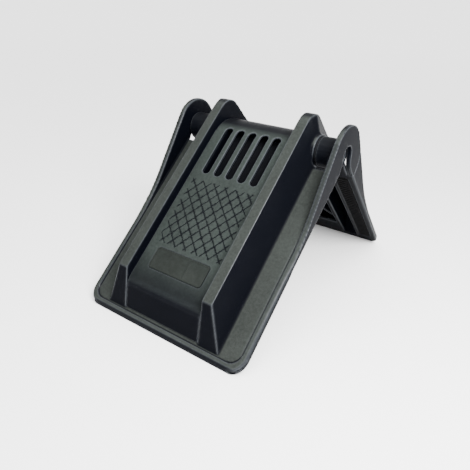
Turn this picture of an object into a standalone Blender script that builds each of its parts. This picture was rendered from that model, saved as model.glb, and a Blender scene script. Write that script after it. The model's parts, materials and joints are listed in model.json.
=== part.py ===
"""Hinged strap ramp: two ribbed leaves that open into a V over the edge of a load.

Metres, +Z up. X runs along the crest, the front leaf falls towards -Y and the rear leaf
towards +Y. The origin is on the ground under the middle of the crest.
A point on a leaf is given as (s, n): s down the slope from the crest, n out from the
leaf's underside.
"""

import math

import bmesh
import bpy
from mathutils import Matrix, Vector

# Overall
WIDTH = 0.180
LEG = 0.216
HALF_ANGLE = math.radians(47.5)
FOOT_RISE = 0.0012
GAP = 0.0003
RUNNING_GAP = 0.0001

# Wings
PLATE_T = 0.004
RIM_RISE = 0.0015
RIM_W = 0.0053
TOE_CORNER_R = 0.0165
WING_START = 0.018
TOE_MARGIN = 0.0096

# Ribs, each side of the strap channel
CHANNEL_HALF = 0.043
RIB_TOP_W = 0.0101
RIB_H = 0.0315
RIB_FLARE = 0.0115
RIB_WALL = 0.0031
RIB_TOE_RUN = 0.0319
HUMP_R = 0.019
CAVITY_START = 0.041

# Deck, the strip that the strap slides on
DECK_H = 0.0225
DECK_T = 0.0032
DECK_CREST_R = 0.037
DECK_TOE_R = 0.012
DECK_SET_BACK = 0.0006
LEDGE_W = 0.003
LEDGE_DEPTH = 0.004
SLOT_COUNT = 5
SLOT_PITCH = 0.0137
SLOT_W = 0.008
SLOT_START = 0.0055
REAR_SLOT_START = 0.023
SLOT_END = 0.0606
SLOT_CORNER_R = 0.0036
TRAY_MARGIN = 0.003
TRAY_WALL = 0.0016
TRAY_BOTTOM = 0.008

# Label plate
LABEL_HALF_W = 0.030
LABEL_START = 0.144
LABEL_END = 0.165
LABEL_CORNER_R = 0.003
LABEL_SINK = 0.0008
LABEL_PROUD = 0.0006

# Hinge
AXIS_RISE = 0.0032
SEAM_R = 0.034
SEAM_GAP = 0.0005
EAR_R = 0.0285
EAR_SLOPE = math.radians(15.8)
EAR_FAIRING = 0.025
BARREL_R = 0.0144
BARREL_FACE = 0.0645
BARREL_WEB = 0.0055
KEYHOLE_R = 0.0095
KEYHOLE_FLARE = 0.022
AXLE_R = 0.004
AXLE_HALF = 0.076
BOSS_R = 0.0155
BOSS_FACE = 0.0625
SPOT_FACE_R = 0.017
WASHER_R = 0.014
BUSH_R = 0.006
CLIP_R = 0.0076
CLIP_T = 0.0016

# Brace, screws and pads under each leaf
BRACE_START = 0.062
BRACE_END = 0.180
BRACE_W = 0.004
BRACE_BOTTOM = 0.0042
BRACE_TOP = 0.014
WINDOW_END = 0.181
POST_R = 0.008
POST_H = 0.007
POST_BOTTOM = 0.001
LOWER_POST = 0.180
DECK_BOSS_R = 0.0045
SCREW_HEAD_R = 0.0039
SCREW_HEAD_T = 0.0022
SCREW_SINK = 0.0014
SCREW_R = 0.0017
SCREW_BITE = 0.008
PAD_INNER = 0.0685
PAD_OUTER = 0.0825
PAD_START = 0.040
PAD_END = 0.196
PAD_CORNER_R = 0.003
PAD_SINK = 0.0012
PAD_PROUD = 0.001

# Values worked out from those above
SIN = math.sin(HALF_ANGLE)
COS = math.cos(HALF_ANGLE)
CREST_Z = LEG * COS - FOOT_RISE
AXIS_Z = CREST_Z + AXIS_RISE
AXIS_S = -AXIS_RISE * COS
AXIS_N = AXIS_RISE * SIN
HALF_W = WIDTH / 2
RIM_H = PLATE_T + RIM_RISE
RIB_FOOT = LEG - TOE_MARGIN
RIB_END = RIB_FOOT - RIB_TOE_RUN
TOE_SLOPE = RIB_TOE_RUN / (RIB_H - PLATE_T)
EAR_FACE = HALF_W - RIM_W
BARREL_END = EAR_FACE - SEAM_GAP
CENTRE_POST = (BRACE_START + BRACE_END) / 2
FRONT, REAR = -1, 1


def material(name, colour, roughness, metallic=0.0):
    mat = bpy.data.materials.new(name)
    mat.use_nodes = True
    shader = mat.node_tree.nodes["Principled BSDF"]
    shader.inputs["Base Color"].default_value = (*colour, 1)
    shader.inputs["Roughness"].default_value = roughness
    shader.inputs["Metallic"].default_value = metallic
    return mat


def collection(name):
    made = bpy.data.collections.new(name)
    bpy.context.scene.collection.children.link(made)
    return made


# Frames: each gives the world matrix of a flat outline that is extruded along local Z.
def profile_frame(x):
    """Outlines in (y, z), extruded along X about x."""
    return Matrix(((0, 0, 1, x), (1, 0, 0, 0), (0, 1, 0, 0), (0, 0, 0, 1)))


def leaf_axes(side):
    down_slope = Vector((0, side * SIN, -COS))
    outward = Vector((0, side * COS, SIN))
    return down_slope, outward


def plan_frame(side, n):
    """Outlines in (x, s) on a leaf, extruded along its normal about n."""
    down_slope, outward = leaf_axes(side)
    across = Vector((1, 0, 0))
    origin = Vector((0, 0, CREST_Z)) + outward * n
    return frame_of(across, down_slope, origin)


def section_frame(side, s):
    """Outlines in (x, n) across a leaf, extruded down its slope about s."""
    down_slope, outward = leaf_axes(side)
    across = Vector((1, 0, 0))
    origin = Vector((0, 0, CREST_Z)) + down_slope * s
    return frame_of(across, outward, origin)


def frame_of(first, second, origin):
    third = first.cross(second)
    matrix = Matrix((first, second, third)).transposed().to_4x4()
    matrix.translation = origin
    return matrix


def on_leaf(side, s, n):
    """The (y, z) of a point on a leaf."""
    return (side * (s * SIN + n * COS), CREST_Z - s * COS + n * SIN)


def arc(centre, radius, start, end, steps):
    """Points from one angle to another, in degrees, both ends included."""
    points = []
    for i in range(steps + 1):
        angle = math.radians(start + (end - start) * i / steps)
        x = centre[0] + radius * math.cos(angle)
        y = centre[1] + radius * math.sin(angle)
        points.append((x, y))
    return points


def rounded_box(low, high, radius, steps=5):
    """A rectangle with its four corners rounded."""
    points = []
    corners = ((high[0], high[1], 0), (low[0], high[1], 90), (low[0], low[1], 180), (high[0], low[1], 270))
    for x, y, start in corners:
        centre = (x - math.copysign(radius, x - (low[0] + high[0]) / 2),
                  y - math.copysign(radius, y - (low[1] + high[1]) / 2))
        points += arc(centre, radius, start, start + 90, steps)
    return points


def plate(name, outline, thickness, frame):
    """A flat outline extruded by its thickness, as a closed mesh in world space."""
    curve = bpy.data.curves.new(name, "CURVE")
    curve.dimensions = "2D"
    curve.fill_mode = "BOTH"
    curve.extrude = thickness / 2
    spline = curve.splines.new("POLY")
    spline.points.add(len(outline) - 1)
    for point, place in zip(spline.points, outline):
        point.co = (place[0], place[1], 0, 1)
    spline.use_cyclic_u = True
    flat = bpy.data.objects.new(name + "_outline", curve)
    helpers.objects.link(flat)
    bpy.context.view_layer.update()
    evaluated = flat.evaluated_get(bpy.context.evaluated_depsgraph_get())
    mesh = bpy.data.meshes.new_from_object(evaluated)
    bpy.data.objects.remove(flat)
    shape = bmesh.new()
    shape.from_mesh(mesh)
    bmesh.ops.remove_doubles(shape, verts=shape.verts, dist=0.000001)
    bmesh.ops.transform(shape, matrix=frame, verts=shape.verts)
    bmesh.ops.recalc_face_normals(shape, faces=shape.faces)
    shape.to_mesh(mesh)
    shape.free()
    mesh.name = name
    made = bpy.data.objects.new(name, mesh)
    helpers.objects.link(made)
    return made


def round_bar(name, radius, start, end, segments=48):
    """A cylinder along X about the hinge axis, from start to end."""
    shape = bmesh.new()
    place = Matrix.Translation(((start + end) / 2, 0, AXIS_Z)) @ Matrix.Rotation(math.pi / 2, 4, "Y")
    bmesh.ops.create_cone(shape, cap_ends=True, segments=segments, radius1=radius, radius2=radius,
                          depth=abs(end - start), matrix=place)
    return object_from(name, shape)


def post(name, side, s, radius, low, high, segments=36):
    """A cylinder at the middle of a leaf, standing on it from n = low to n = high."""
    down_slope, outward = leaf_axes(side)
    place = frame_of(Vector((1, 0, 0)), down_slope, Vector((0, 0, CREST_Z)))
    place.translation += down_slope * s + outward * (low + high) / 2
    shape = bmesh.new()
    bmesh.ops.create_cone(shape, cap_ends=True, segments=segments, radius1=radius, radius2=radius,
                          depth=high - low, matrix=place)
    bmesh.ops.recalc_face_normals(shape, faces=shape.faces)
    return object_from(name, shape)


def box(name, low, high):
    shape = bmesh.new()
    size = [b - a for a, b in zip(low, high)]
    middle = [(a + b) / 2 for a, b in zip(low, high)]
    place = Matrix.Translation(middle) @ Matrix.Diagonal((*size, 1))
    bmesh.ops.create_cube(shape, size=1, matrix=place)
    return object_from(name, shape)


def object_from(name, shape):
    mesh = bpy.data.meshes.new(name)
    shape.to_mesh(mesh)
    shape.free()
    made = bpy.data.objects.new(name, mesh)
    helpers.objects.link(made)
    return made


def combine(target, operation, *others, solver="EXACT"):
    """Adds Boolean modifiers to the target; the others stay as hidden helpers."""
    for other in others:
        other.hide_render = True
        other.display_type = "WIRE"
        modifier = target.modifiers.new(operation.lower() + "_" + other.name, "BOOLEAN")
        modifier.operation = operation
        modifier.solver = solver
        modifier.object = other
    return target


def carve(target, operation, *others):
    """Booleans for a leaf, whose many joins stay closed with the MANIFOLD solver."""
    return combine(target, operation, *others, solver="MANIFOLD")


def finish(obj, name, mat, *, origin=None):
    """Names a piece, gives it its material and moves it to the parts' collection."""
    obj.name = name
    obj.data.name = name
    obj.data.materials.clear()
    obj.data.materials.append(mat)
    helpers.objects.unlink(obj)
    parts.objects.link(obj)
    if origin is not None:
        obj.data.transform(Matrix.Translation(-origin))
        obj.location = origin
    obj.data.shade_smooth()
    obj.data.set_sharp_from_angle(angle=math.radians(30))
    return obj


def rib_outer(n):
    """Half-width of a rib's sloping outer wall at height n."""
    return CHANNEL_HALF + RIB_TOP_W + (RIB_H - n) / (RIB_H - PLATE_T) * RIB_FLARE


def rib_toe(n):
    """Where a rib's toe face lies, down the slope, at height n."""
    return RIB_END + (RIB_H - n) * TOE_SLOPE


def seam_cut(height, radius):
    """How far down a leaf the seam circle crosses a line at this height."""
    return AXIS_S + math.sqrt(radius**2 - (height - AXIS_N) ** 2)


def axis_angle(point):
    """Direction of a (y, z) point from the hinge axis, in degrees."""
    return math.degrees(math.atan2(point[1] - AXIS_Z, point[0]))


def seam_arc(side, top, radius, steps=14):
    """The seam circle from a leaf's outer line at height top down to its underside."""
    start = axis_angle(on_leaf(REAR, seam_cut(top, radius), top))
    end = axis_angle(on_leaf(REAR, seam_cut(0, radius), 0))
    points = arc((0, AXIS_Z), radius, start, end, steps)
    return [(side * y, z) for y, z in points]


def normal_angle():
    """Direction of the rear leaf's normal, in degrees."""
    return math.degrees(math.atan2(SIN, COS))


def draft_cutter(name, side, hand, inset):
    """Everything outside a rib's sloping outer wall, moved in by inset."""
    low, high = -0.010, RIB_H + 0.020
    outline = [
        (hand * (rib_outer(low) - inset), low),
        (hand * (rib_outer(high) - inset), high),
        (hand * HALF_W * 1.3, high),
        (hand * HALF_W * 1.3, low),
    ]
    return plate(name, outline, LEG * 1.5, section_frame(side, LEG * 0.45))


def rib_profile(side):
    """The outline of a leaf's ribs in (y, z); the front leaf's carries the hump."""
    toe = [on_leaf(side, rib_toe(0.001), 0.001), on_leaf(side, RIB_END, RIB_H)]
    if side == FRONT:
        lean = normal_angle()
        hump_z = CREST_Z + (RIB_H - HUMP_R) / SIN
        hump = arc((0, hump_z), HUMP_R, 180 - lean, lean, 16)
        seam = seam_arc(REAR, RIB_H, SEAM_R)
        return toe + hump + seam + [(0, CREST_Z), on_leaf(side, rib_toe(0.001), 0)]
    seam = seam_arc(side, RIB_H, SEAM_R + SEAM_GAP)
    return toe + seam + [on_leaf(side, rib_toe(0.001), 0)]


def rib(name, side, hand):
    """One hollow rib, before it joins the wings."""
    outer = rib_outer(0)
    middle = hand * (CHANNEL_HALF + outer) / 2
    made = plate(name, rib_profile(side), outer - CHANNEL_HALF, profile_frame(middle))
    carve(made, "DIFFERENCE", draft_cutter(name + "_draft", side, hand, 0))
    if side == FRONT:
        carve(made, "DIFFERENCE", draft_cutter(name + "_rear_draft", REAR, hand, 0))
        ends = sorted((hand * (BARREL_FACE - SEAM_GAP), hand * HALF_W))
        side_relief = box(name + "_side_relief", (ends[0], 0, 0), (ends[1], LEG / 2, CREST_Z * 2))
        boss = round_bar(name + "_boss", BOSS_R, hand * (CHANNEL_HALF + RIB_WALL), hand * BOSS_FACE)
        spot_face = round_bar(name + "_spot_face", SPOT_FACE_R, hand * BOSS_FACE, hand * HALF_W)
        bore = round_bar(name + "_bore", AXLE_R + GAP, 0, hand * HALF_W)
        carve(made, "DIFFERENCE", side_relief)
        carve(made, "UNION", boss)
        carve(made, "DIFFERENCE", spot_face, bore)
    return made


def rib_cavity(name, side, hand):
    """The hollow inside a rib, open below."""
    low, high = -0.005, RIB_H - RIB_WALL
    setback = RIB_WALL * math.hypot(1, TOE_SLOPE)
    outline = [
        on_leaf(side, CAVITY_START, low),
        on_leaf(side, CAVITY_START, high),
        on_leaf(side, rib_toe(high) - setback, high),
        on_leaf(side, rib_toe(low) - setback, low),
    ]
    inner = CHANNEL_HALF + RIB_WALL
    outer = rib_outer(low)
    made = plate(name, outline, outer - inner, profile_frame(hand * (inner + outer) / 2))
    return carve(made, "DIFFERENCE", draft_cutter(name + "_draft", side, hand, RIB_WALL))


def ear_line(side):
    """The ear's outline on one leaf, from the rim up to where it meets the round head."""
    foot = (AXIS_S + EAR_R * math.sin(EAR_SLOPE), AXIS_N + EAR_R * math.cos(EAR_SLOPE))
    meets_rim = foot[0] + (foot[1] - RIM_H) / math.tan(EAR_SLOPE)
    fairing_r = EAR_FAIRING / math.tan(EAR_SLOPE / 2)
    centre = (meets_rim + EAR_FAIRING, RIM_H + fairing_r)
    fairing = arc(centre, fairing_r, -90, -90 - math.degrees(EAR_SLOPE), 6)
    return [on_leaf(side, s, n) for s, n in fairing]


def ear_seam_arc(radius, steps=14):
    """The seam circle across an ear, from its rear edge down to the rear leaf's underside."""
    lean = axis_angle(on_leaf(REAR, AXIS_S + math.sin(EAR_SLOPE), AXIS_N + math.cos(EAR_SLOPE)))
    start = lean - math.degrees(math.acos(EAR_R / radius))
    end = axis_angle(on_leaf(REAR, seam_cut(0, radius), 0))
    return arc((0, AXIS_Z), radius, start, end, steps)


def ear(name, side, hand):
    """One ear at the end of the crest; the front leaf's has the round head and keyhole."""
    rim_end = AXIS_S + EAR_R / math.sin(EAR_SLOPE) + EAR_FAIRING
    if side == FRONT:
        lean = normal_angle() - math.degrees(EAR_SLOPE)
        head = arc((0, AXIS_Z), EAR_R, 180 - lean, lean, 24)
        outline = ear_line(side) + head + ear_seam_arc(SEAM_R) + [(0, CREST_Z)]
    else:
        outline = ear_line(side) + ear_seam_arc(SEAM_R + SEAM_GAP)
    outline += [on_leaf(side, rim_end, 0)]
    made = plate(name, outline, RIM_W, profile_frame(hand * (EAR_FACE + HALF_W) / 2))
    return made


def keyhole(name, hand):
    """The round-topped slot through a front ear; its sides flare out below."""
    slope = math.degrees(HALF_ANGLE)
    corner_z = CREST_Z - KEYHOLE_R * COS / SIN
    centre_z = corner_z + KEYHOLE_FLARE * math.tan(HALF_ANGLE / 2)
    flare = arc((KEYHOLE_R + KEYHOLE_FLARE, centre_z), KEYHOLE_FLARE, 180, 180 + slope, 8)
    below = [(flare[-1][0], CREST_Z - SEAM_R), (-flare[-1][0], CREST_Z - SEAM_R)]
    outline = arc((0, AXIS_Z), KEYHOLE_R, 0, 180, 24)
    outline += [(-y, z) for y, z in flare] + below[::-1] + flare[::-1]
    return plate(name, outline, RIM_W * 2, profile_frame(hand * (EAR_FACE + HALF_W) / 2))


def wing_plate(side, name):
    """Both wings and the toe bar in one plate, with the rim standing round its edge."""
    past_toe = LEG + GAP
    outline = [(-HALF_W, WING_START), (HALF_W, WING_START)]
    outline += arc((HALF_W - TOE_CORNER_R, past_toe - TOE_CORNER_R), TOE_CORNER_R, 0, 90, 8)
    outline += arc((TOE_CORNER_R - HALF_W, past_toe - TOE_CORNER_R), TOE_CORNER_R, 90, 180, 8)
    made = plate(name, outline, RIM_H, plan_frame(side, RIM_H / 2))
    inner = HALF_W - RIM_W
    inner_r = TOE_CORNER_R - RIM_W
    pocket_end = RIB_FOOT + RIM_RISE
    outline = [(-inner, -WING_START), (inner, -WING_START)]
    outline += arc((inner - inner_r, pocket_end - inner_r), inner_r, 0, 90, 6)
    outline += arc((inner_r - inner, pocket_end - inner_r), inner_r, 90, 180, 6)
    pocket = plate(name + "_pocket", outline, RIM_H, plan_frame(side, PLATE_T + RIM_H / 2))
    ends = sorted((side * LEG * SIN, side * LEG))
    past_vertical = box(name + "_toe_cut", (-WIDTH, ends[0], -LEG), (WIDTH, ends[1], LEG))
    return carve(made, "DIFFERENCE", pocket, past_vertical)


def ledge(name, side, hand):
    """The step inside a rib that the deck rests on."""
    top = DECK_H - DECK_T - GAP
    low = top - LEDGE_DEPTH
    toe = rib_toe(top) - (DECK_T + GAP) * math.hypot(1, TOE_SLOPE) - DECK_SET_BACK - DECK_TOE_R / 2
    if side == FRONT:
        lean = normal_angle()
        centre = (0, CREST_Z + (DECK_H - DECK_CREST_R) / SIN)
        upper = arc(centre, DECK_CREST_R - DECK_T - GAP, 180 - lean, lean, 10)
        lower = arc(centre, DECK_CREST_R - DECK_T - GAP - LEDGE_DEPTH, lean, 180 - lean, 10)
        outline = [on_leaf(side, toe, top)] + upper + lower + [on_leaf(side, toe, low)]
    else:
        start = seam_cut(top, SEAM_R + SEAM_GAP) + RIB_WALL
        outline = [on_leaf(side, s, n) for s, n in ((toe, top), (start, top), (start, low), (toe, low))]
    depth = LEDGE_W + RIB_WALL / 2
    middle = hand * (CHANNEL_HALF - LEDGE_W + depth / 2)
    return plate(name, outline, depth, profile_frame(middle))


def brace_bar(name, side, hand):
    """One bar of the cross brace under the deck."""
    reach = CHANNEL_HALF + RIB_WALL / 3
    direction = Vector((2 * hand * reach, BRACE_END - BRACE_START)).normalized()
    across = Vector((-direction.y, direction.x)) * BRACE_W / 2
    start = Vector((-hand * reach, BRACE_START))
    end = Vector((hand * reach, BRACE_END))
    outline = [tuple(p) for p in (start + across, start - across, end - across, end + across)]
    middle = (BRACE_BOTTOM + BRACE_TOP) / 2
    return plate(name, outline, BRACE_TOP - BRACE_BOTTOM, plan_frame(side, middle))


def knuckle(name, hand):
    """The rear leaf's barrel on one side, with the tongue that carries it."""
    inner, outer = BARREL_FACE, BARREL_END
    barrel = round_bar(name, BARREL_R, hand * inner, hand * outer, 64)
    tongue_ends = (AXIS_S, WING_START + PLATE_T)
    outline = [on_leaf(REAR, s, n) for s in tongue_ends for n in (GAP, PLATE_T - GAP)]
    outline = [outline[0], outline[1], outline[3], outline[2]]
    middle = hand * (inner + outer + GAP) / 2
    tongue = plate(name + "_tongue", outline, outer - inner - GAP, profile_frame(middle))
    return carve(barrel, "UNION", tongue)


def screw_room(made, name, side, s):
    """Clears a post for the deck's boss above, the screw's shank and its sunk head."""
    clear_r = DECK_BOSS_R + GAP
    head_room = SCREW_SINK + SCREW_HEAD_T + GAP
    boss_room = post(name + "_boss_room", side, s, clear_r, POST_H, RIB_H)
    hole = post(name + "_hole", side, s, SCREW_R + GAP, -POST_H, POST_H * 2)
    head = post(name + "_head_room", side, s, SCREW_HEAD_R + GAP, -POST_H, head_room)
    return carve(made, "DIFFERENCE", boss_room, hole, head)


def brace(name, side):
    """The cross brace under the deck, with the upper screw post at its crossing."""
    made = brace_bar(name, side, -1)
    other = brace_bar(name + "_other", side, 1)
    centre_post = post(name + "_post", side, CENTRE_POST, POST_R, POST_BOTTOM, POST_H)
    carve(made, "UNION", other, centre_post)
    return screw_room(made, name, side, CENTRE_POST)


def leaf(side, name):
    """A whole leaf: wings, ribs, ears, ledges, brace and screw posts."""
    made = wing_plate(side, name)
    for hand, word in ((-1, "left"), (1, "right")):
        label = name + "_" + word
        carve(made, "UNION", rib(label + "_rib", side, hand), ear(label + "_ear", side, hand))
    half_window = CHANNEL_HALF - LEDGE_W
    outline = rounded_box((-half_window, -LEG / 2), (half_window, WINDOW_END), LEDGE_W)
    window = plate(name + "_window", outline, PLATE_T * 3, plan_frame(side, 0))
    carve(made, "DIFFERENCE", window)
    for hand, word in ((-1, "left"), (1, "right")):
        label = name + "_" + word
        carve(made, "UNION", ledge(label + "_ledge", side, hand))
        carve(made, "DIFFERENCE", rib_cavity(label + "_cavity", side, hand))
        carve(made, "DIFFERENCE", pad_pocket(label + "_pad_pocket", side, hand))
    carve(made, "UNION", brace(name + "_brace", side))
    carve(made, "UNION", post(name + "_lower_post", side, LOWER_POST, POST_R, POST_BOTTOM, POST_H))
    screw_room(made, name + "_lower", side, LOWER_POST)
    if side == FRONT:
        carve(made, "DIFFERENCE", keyhole(name + "_left_keyhole", -1), keyhole(name + "_right_keyhole", 1))
    else:
        open_rear_seam(made, name)
    below_ground = box(name + "_ground", (-WIDTH, -LEG * 2, -LEG), (WIDTH, LEG * 2, 0))
    return carve(made, "DIFFERENCE", below_ground)


def open_rear_seam(made, name):
    """Clears the rear leaf round the front leaf's heads, then adds its two barrels."""
    clear = SEAM_R + SEAM_GAP
    middle_room = round_bar(name + "_middle_room", clear, -BARREL_FACE, BARREL_FACE, 96)
    carve(made, "DIFFERENCE", middle_room)
    for hand, word in ((-1, "left"), (1, "right")):
        label = name + "_" + word
        ear_room = round_bar(label + "_ear_room", clear, hand * BARREL_END, hand * WIDTH, 96)
        counterbore_start = hand * (BARREL_FACE + BARREL_WEB)
        counterbore = round_bar(label + "_counterbore", KEYHOLE_R, counterbore_start, hand * WIDTH)
        bush_bore = round_bar(label + "_bush_bore", BUSH_R + GAP, 0, hand * HALF_W)
        carve(made, "DIFFERENCE", ear_room)
        carve(made, "UNION", knuckle(label + "_knuckle", hand))
        carve(made, "DIFFERENCE", counterbore, bush_bore)


def deck_line(height, toe_r, set_back):
    """A deck's toe and slope at one height, from its foot to the top of its toe bend."""
    toe_angle = math.degrees(math.atan2(1, TOE_SLOPE))
    bend = toe_r * math.tan(math.radians(toe_angle) / 2)
    corner = rib_toe(height) - set_back
    foot_n = PLATE_T + GAP
    centre = (corner - bend, height - toe_r)
    points = [(rib_toe(foot_n) - set_back, foot_n)]
    return points + arc(centre, toe_r, 90 - toe_angle, 90, 8)


def deck_profile(side):
    outer = deck_line(DECK_H, DECK_TOE_R, DECK_SET_BACK)
    wall_back = DECK_SET_BACK + DECK_T * math.hypot(1, TOE_SLOPE)
    inner = deck_line(DECK_H - DECK_T, DECK_TOE_R - DECK_T, wall_back)
    outer = [on_leaf(side, s, n) for s, n in outer]
    inner = [on_leaf(side, s, n) for s, n in inner][::-1]
    lean = normal_angle()
    centre = (0, CREST_Z + (DECK_H - DECK_CREST_R) / SIN)
    if side == FRONT:
        crest = arc(centre, DECK_CREST_R, 180 - lean, lean, 20)
        crest += arc(centre, DECK_CREST_R - DECK_T, lean, 180 - lean, 20)
        return outer + crest + inner
    meets = -DECK_H * COS / SIN + DECK_CREST_R * COS / SIN + SEAM_GAP
    edge = [on_leaf(side, meets, DECK_H), on_leaf(side, meets, DECK_H - DECK_T)]
    return outer + edge + inner


def slots_start(side):
    return SLOT_START if side == FRONT else REAR_SLOT_START


def slot_cutter(name, side, index):
    x = (index - (SLOT_COUNT - 1) / 2) * SLOT_PITCH
    outline = rounded_box((x - SLOT_W / 2, slots_start(side)), (x + SLOT_W / 2, SLOT_END), SLOT_CORNER_R)
    return plate(name, outline, DECK_H, plan_frame(side, DECK_H))


def tray_block(name, side, inset, low, high):
    """A block as big as the tray under the slots, less an inset all round."""
    reach = (SLOT_COUNT - 1) / 2 * SLOT_PITCH + SLOT_W / 2 + TRAY_MARGIN - inset
    ends = slots_start(side) - TRAY_MARGIN + inset, SLOT_END + TRAY_MARGIN - inset
    outline = rounded_box((-reach, ends[0]), (reach, ends[1]), TRAY_WALL)
    return plate(name, outline, high - low, plan_frame(side, (low + high) / 2))


def label_outline(clearance):
    low = (-LABEL_HALF_W - clearance, LABEL_START - clearance)
    high = (LABEL_HALF_W + clearance, LABEL_END + clearance)
    return rounded_box(low, high, LABEL_CORNER_R + clearance)


def deck(side, name):
    """The slotted strip between the ribs, bent down at the toe, with a tray under its slots."""
    made = plate(name, deck_profile(side), 2 * (CHANNEL_HALF - GAP), profile_frame(0))
    underside = DECK_H - DECK_T
    tray = tray_block(name + "_tray", side, 0, TRAY_BOTTOM, underside + 2 * GAP)
    room = tray_block(name + "_tray_room", side, TRAY_WALL, TRAY_BOTTOM + TRAY_WALL, underside + GAP)
    combine(made, "UNION", tray)
    combine(made, "DIFFERENCE", room)
    for index in range(SLOT_COUNT):
        combine(made, "DIFFERENCE", slot_cutter(f"{name}_slot_{index}", side, index))
    pocket_middle = DECK_H - LABEL_SINK + DECK_T / 2
    pocket = plate(name + "_label_pocket", label_outline(GAP), DECK_T, plan_frame(side, pocket_middle))
    combine(made, "DIFFERENCE", pocket)
    for s, word in ((CENTRE_POST, "upper"), (LOWER_POST, "lower")):
        label = name + "_" + word
        boss = post(label + "_boss", side, s, DECK_BOSS_R, POST_H + GAP, DECK_H - DECK_T / 2)
        pilot_end = POST_H + SCREW_BITE + GAP
        pilot = post(label + "_pilot", side, s, SCREW_R + GAP, 0, pilot_end)
        combine(made, "UNION", boss)
        combine(made, "DIFFERENCE", pilot)
    return made


def label_plate(side, name):
    low = DECK_H - LABEL_SINK + GAP
    high = DECK_H + LABEL_PROUD
    return plate(name, label_outline(0), high - low, plan_frame(side, (low + high) / 2))


def screw(side, name, s):
    head_top = SCREW_SINK + SCREW_HEAD_T
    head = post(name, side, s, SCREW_HEAD_R, SCREW_SINK, head_top)
    shank = post(name + "_shank", side, s, SCREW_R, head_top - SCREW_R, POST_H + SCREW_BITE, 20)
    return combine(head, "UNION", shank)


def pad_outline(hand, clearance):
    ends = sorted((hand * PAD_INNER, hand * PAD_OUTER))
    low = (ends[0] - clearance, PAD_START - clearance)
    high = (ends[1] + clearance, PAD_END + clearance)
    return rounded_box(low, high, PAD_CORNER_R + clearance)


def pad_pocket(name, side, hand):
    return plate(name, pad_outline(hand, GAP), 2 * PAD_SINK, plan_frame(side, 0))


def grip_pad(name, side, hand):
    low, high = -PAD_PROUD, PAD_SINK - GAP
    return plate(name, pad_outline(hand, 0), high - low, plan_frame(side, (low + high) / 2))


def ring(name, outer, inner, start, end):
    made = round_bar(name, outer, start, end)
    return combine(made, "DIFFERENCE", round_bar(name + "_hole", inner, start * 0.5, end * 1.5))


def hinge_pieces():
    """The axle across the ribs, and what sits on each of its ends."""
    centre = Vector((0, 0, AXIS_Z))
    finish(round_bar("axle", AXLE_R, -AXLE_HALF, AXLE_HALF), "hinge_axle", steel, origin=centre)
    for hand, word in ((-1, "left"), (1, "right")):
        washer = ring("washer_" + word, WASHER_R, AXLE_R + GAP,
                      hand * (BOSS_FACE + GAP), hand * (BARREL_FACE - GAP))
        finish(washer, "hinge_washer_" + word, nylon, origin=centre)
        web_end = BARREL_FACE + BARREL_WEB
        bush = ring("bush_" + word, BUSH_R, AXLE_R + RUNNING_GAP, hand * BARREL_FACE, hand * web_end)
        finish(bush, "barrel_bush_" + word, nylon, origin=centre)
        clip_start = web_end + GAP
        clip = ring("clip_" + word, CLIP_R, AXLE_R + GAP, hand * clip_start, hand * (clip_start + CLIP_T))
        finish(clip, "axle_clip_" + word, steel, origin=centre)


for leftover in list(bpy.data.objects):
    bpy.data.objects.remove(leftover)

parts = collection("strap_ramp")
helpers = collection("cutters")
helpers.hide_render = True
centre_line = Vector((0, 0, AXIS_Z))

shell_plastic = material("shell_plastic", (0.018, 0.020, 0.022), 0.55)
deck_plastic = material("deck_plastic", (0.030, 0.034, 0.033), 0.60)
label_plastic = material("label_plastic", (0.045, 0.050, 0.048), 0.50)
pad_rubber = material("pad_rubber", (0.010, 0.010, 0.010), 0.85)
nylon = material("nylon", (0.020, 0.020, 0.022), 0.35)
steel = material("steel", (0.42, 0.43, 0.44), 0.35, 1.0)

for side, word in ((FRONT, "front"), (REAR, "rear")):
    finish(leaf(side, word + "_leaf_body"), word + "_leaf", shell_plastic, origin=centre_line)
    finish(deck(side, word + "_deck_body"), word + "_deck", deck_plastic, origin=centre_line)
    finish(label_plate(side, word + "_label"), word + "_label_plate", label_plastic, origin=centre_line)
    for hand, hand_word in ((-1, "left"), (1, "right")):
        pad = grip_pad(f"{word}_pad_{hand_word}", side, hand)
        finish(pad, f"{word}_grip_pad_{hand_word}", pad_rubber, origin=centre_line)
    for s, place in ((CENTRE_POST, "upper"), (LOWER_POST, "lower")):
        made = screw(side, f"{word}_screw_{place}", s)
        finish(made, f"{word}_deck_screw_{place}", steel)

hinge_pieces()
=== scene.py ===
"""Looks of the hinged strap ramp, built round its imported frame.

Laid out as an add-on: the property groups hold the sizes and colours, each operator makes
one group of pieces, and main() runs them in order. Metres, +Z up, as the frame is.
A place on a leaf is (u, s, n): u across it, s down its slope from the crest, n out from
its underside.
"""

import json
import math

import bmesh
import bpy
import numpy as np
from bpy.props import FloatProperty, FloatVectorProperty, IntProperty, PointerProperty
from mathutils import Matrix, Vector


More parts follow.
